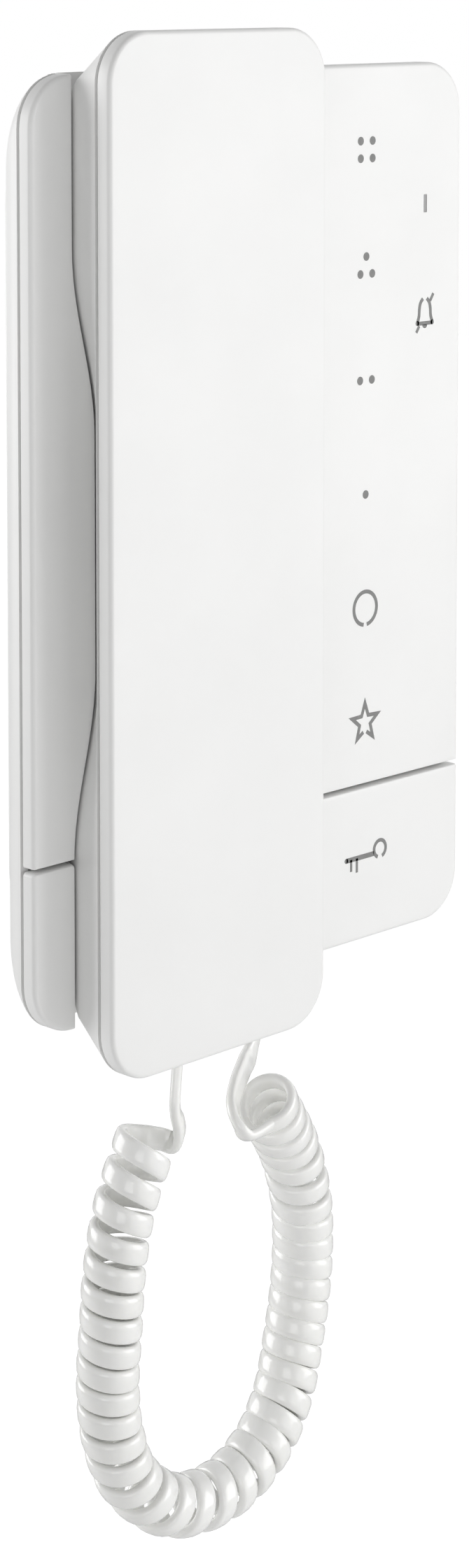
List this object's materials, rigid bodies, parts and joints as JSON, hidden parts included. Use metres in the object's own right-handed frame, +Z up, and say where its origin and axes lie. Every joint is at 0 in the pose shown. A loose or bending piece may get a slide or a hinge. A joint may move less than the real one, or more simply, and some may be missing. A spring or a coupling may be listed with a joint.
{
  "type": "wall phone",
  "caption": "Slim wall telephone: a flat lift-off handset lies in a trough of a shallow wall base, with a full-width door key at the foot and a curly cord below.",
  "frame": {"origin": "on the wall, midway between the two wall screw holes of the bracket", "axes": "+X to the right seen from the front, +Y into the wall, +Z up"},
  "size_m": [0.1256, 0.0382, 0.3148],
  "materials": {
    "steel": "zinc plated",
    "white_shell": "fine satin moulding",
    "screw_steel": "zinc plated",
    "board_laminate": "solder resist",
    "touch_film": "polyimide film",
    "clear_plastic": "clear moulding",
    "dark_plastic": "moulded",
    "terminal_plastic": "moulded",
    "plunger_plastic": "moulded",
    "socket_plastic": "moulded",
    "capsule_metal": "pressed",
    "foam_rubber": "matt",
    "weight_steel": "rolled, bare",
    "cord_sheath": "glossy sheath"
  },
  "bodies": {
    "base": {"wall_bracket": "steel", "rear_housing": "white_shell", "front_cover": "white_shell", "cover_screws": "screw_steel", "board_screws": "screw_steel", "terminal_screws": "screw_steel", "main_board": "board_laminate", "touch_sensor": "touch_film", "status_light_guide": "clear_plastic", "base_plug": "clear_plastic", "call_sounder": "dark_plastic", "hook_switch": "dark_plastic", "key_switch": "dark_plastic", "terminal_block": "terminal_plastic", "base_jack": "socket_plastic", "curly_cord": "cord_sheath"},
    "handset": {"handset_front": "white_shell", "handset_rear": "white_shell", "handset_screws": "screw_steel", "receiver_capsule": "capsule_metal", "receiver_gasket": "foam_rubber", "microphone": "capsule_metal", "microphone_boot": "foam_rubber", "handset_board": "board_laminate", "handset_weight": "weight_steel", "handset_jack": "socket_plastic", "handset_plug": "clear_plastic"},
    "hook_plunger": {"hook_plunger": "plunger_plastic"},
    "door_key": {"door_key": "white_shell"},
    "key_plunger": {"key_plunger": "plunger_plastic"}
  },
  "joints": [
    {"name": "handset_lift", "type": "slide", "parent": "base", "child": "handset", "axis": [0, -1, 0], "range_m": [0, 0.04], "deforming": ["curly_cord"]},
    {"name": "hook_plunger_travel", "type": "slide", "parent": "base", "child": "hook_plunger", "axis": [0, -1, 0], "range_m": [0, 0.0024]},
    {"name": "door_key_press", "type": "hinge", "parent": "base", "child": "door_key", "pos_m": [0, -0.0128, -0.05705], "axis": [1, 0, 0], "range_deg": [0, 0.75], "stiffness_Nm_per_rad": 2, "springref_deg": -0.57},
    {"name": "key_plunger_travel", "type": "slide", "parent": "base", "child": "key_plunger", "axis": [0, 1, 0], "range_m": [0, 0.00031]}
  ],
  "couplings": [
    {"joint": "hook_plunger_travel", "follows": "handset_lift", "ratio": 0.06},
    {"joint": "key_plunger_travel", "follows": "door_key_press", "m_per_rad": 0.02145}
  ]
}
